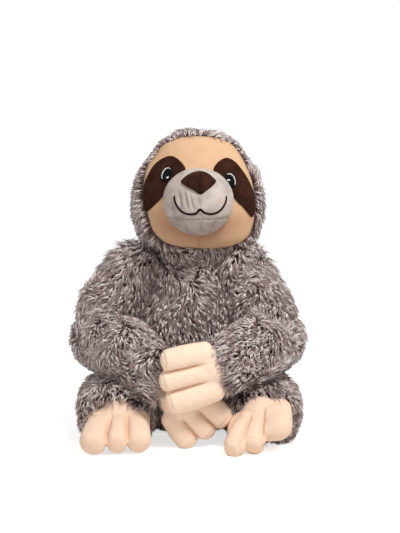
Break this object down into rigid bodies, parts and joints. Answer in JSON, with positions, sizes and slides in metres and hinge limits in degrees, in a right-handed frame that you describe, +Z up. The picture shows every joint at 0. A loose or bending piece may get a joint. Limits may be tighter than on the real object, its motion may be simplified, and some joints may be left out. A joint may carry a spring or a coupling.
{
  "type": "plush sloth",
  "caption": "Seated stuffed sloth in shaggy fur fabric with a smooth masked face, an embroidered smile, and soft hands folded in its lap.",
  "frame": {"origin": "middle of the flat seat, on the surface that the toy sits on, under the torso", "axes": "+Z up through the head, the toy faces -Y, its left side is +X"},
  "size_m": [0.2278, 0.2068, 0.296],
  "materials": {
    "shaggy_fur": "long soft pile, dark at the root and pale at the tip",
    "tan_velour": "short smooth pile",
    "brown_velour": "short smooth pile",
    "grey_velour": "short smooth pile",
    "grey_velour_jaw": "short smooth pile",
    "peach_velour": "short smooth pile",
    "black_thread": "satin stitch embroidery",
    "white_thread": "satin stitch embroidery",
    "polyester_filling": "loose white fibre",
    "pellet_cloth": "plain woven cloth"
  },
  "bodies": {
    "torso": {"torso_skin": "shaggy_fur", "torso_filling": "polyester_filling", "pellet_bag": "pellet_cloth", "back_closing_seam": "shaggy_fur"},
    "neck": {"neck_filling": "polyester_filling"},
    "head": {"head_skin": "shaggy_fur", "head_filling": "polyester_filling", "face_panel": "tan_velour", "left_eye_patch": "brown_velour", "right_eye_patch": "brown_velour", "left_eye_pupil_stitching": "black_thread", "left_eye_rim_stitching": "white_thread", "left_eye_highlight_stitching": "white_thread", "right_eye_pupil_stitching": "black_thread", "right_eye_rim_stitching": "white_thread", "right_eye_highlight_stitching": "white_thread", "muzzle_upper_skin": "grey_velour", "muzzle_jaw_skin": "grey_velour_jaw", "muzzle_filling": "polyester_filling", "nose": "brown_velour", "mouth_stitching": "black_thread", "chin_seam": "tan_velour"},
    "left_upper_arm": {"left_upper_arm_skin": "shaggy_fur", "left_upper_arm_filling": "polyester_filling"},
    "left_forearm": {"left_forearm_skin": "shaggy_fur", "left_forearm_filling": "polyester_filling"},
    "left_hand": {"left_hand_skin": "peach_velour", "left_hand_filling": "polyester_filling"},
    "left_leg": {"left_leg_skin": "shaggy_fur", "left_leg_filling": "polyester_filling"},
    "left_foot": {"left_foot_skin": "peach_velour", "left_foot_filling": "polyester_filling"},
    "right_upper_arm": {"right_upper_arm_skin": "shaggy_fur", "right_upper_arm_filling": "polyester_filling"},
    "right_forearm": {"right_forearm_skin": "shaggy_fur", "right_forearm_filling": "polyester_filling"},
    "right_hand": {"right_hand_skin": "peach_velour", "right_hand_filling": "polyester_filling"},
    "right_leg": {"right_leg_skin": "shaggy_fur", "right_leg_filling": "polyester_filling"},
    "right_foot": {"right_foot_skin": "peach_velour", "right_foot_filling": "polyester_filling"}
  },
  "joints": [
    {"name": "head_turn", "type": "hinge", "parent": "torso", "child": "neck", "pos_m": [0.0045, 0.004, 0.18], "axis": [0, 0, 1], "range_deg": [-25, 25]},
    {"name": "head_nod", "type": "hinge", "parent": "neck", "child": "head", "pos_m": [0.0045, 0.004, 0.18], "axis": [1, 0, 0], "range_deg": [-12, 12]},
    {"name": "left_shoulder", "type": "hinge", "parent": "torso", "child": "left_upper_arm", "pos_m": [0.052, 0, 0.155], "axis": [-0.5007, -0.751, 0.4306], "range_deg": [0, 40]},
    {"name": "left_elbow", "type": "hinge", "parent": "left_upper_arm", "child": "left_forearm", "pos_m": [0.08459, -0.02518, 0.09352], "axis": [-0.3987, 0, 0.9171], "range_deg": [0, 60]},
    {"name": "left_wrist", "type": "hinge", "parent": "left_forearm", "child": "left_hand", "pos_m": [0.0266, -0.10906, 0.07902], "axis": [-0.2496, 0, 0.9684], "range_deg": [0, 30]},
    {"name": "left_hip", "type": "hinge", "parent": "torso", "child": "left_leg", "pos_m": [0.046, 0, 0.0305], "axis": [0, 0, 1], "range_deg": [0, 30]},
    {"name": "left_ankle", "type": "hinge", "parent": "left_leg", "child": "left_foot", "pos_m": [0.0695, -0.08676, 0.02598], "axis": [-1, 0, 0], "range_deg": [0, 25]},
    {"name": "right_shoulder", "type": "hinge", "parent": "torso", "child": "right_upper_arm", "pos_m": [-0.052, 0, 0.155], "axis": [-0.4203, 0.6004, 0.6804], "range_deg": [0, 5]},
    {"name": "right_elbow", "type": "hinge", "parent": "right_upper_arm", "child": "right_forearm", "pos_m": [-0.08774, -0.01271, 0.09146], "axis": [-0.3592, 0.8482, 0.3892], "range_deg": [0, 4]},
    {"name": "right_wrist", "type": "hinge", "parent": "right_forearm", "child": "right_hand", "pos_m": [-0.02483, -0.08954, 0.06413], "axis": [-0.1296, 0.4984, 0.8572], "range_deg": [0, 15]},
    {"name": "right_hip", "type": "hinge", "parent": "torso", "child": "right_leg", "pos_m": [-0.046, 0, 0.0305], "axis": [0, 0, -1], "range_deg": [0, 30]},
    {"name": "right_ankle", "type": "hinge", "parent": "right_leg", "child": "right_foot", "pos_m": [-0.06852, -0.08691, 0.0242], "axis": [-1, 0, 0], "range_deg": [0, 25]}
  ]
}
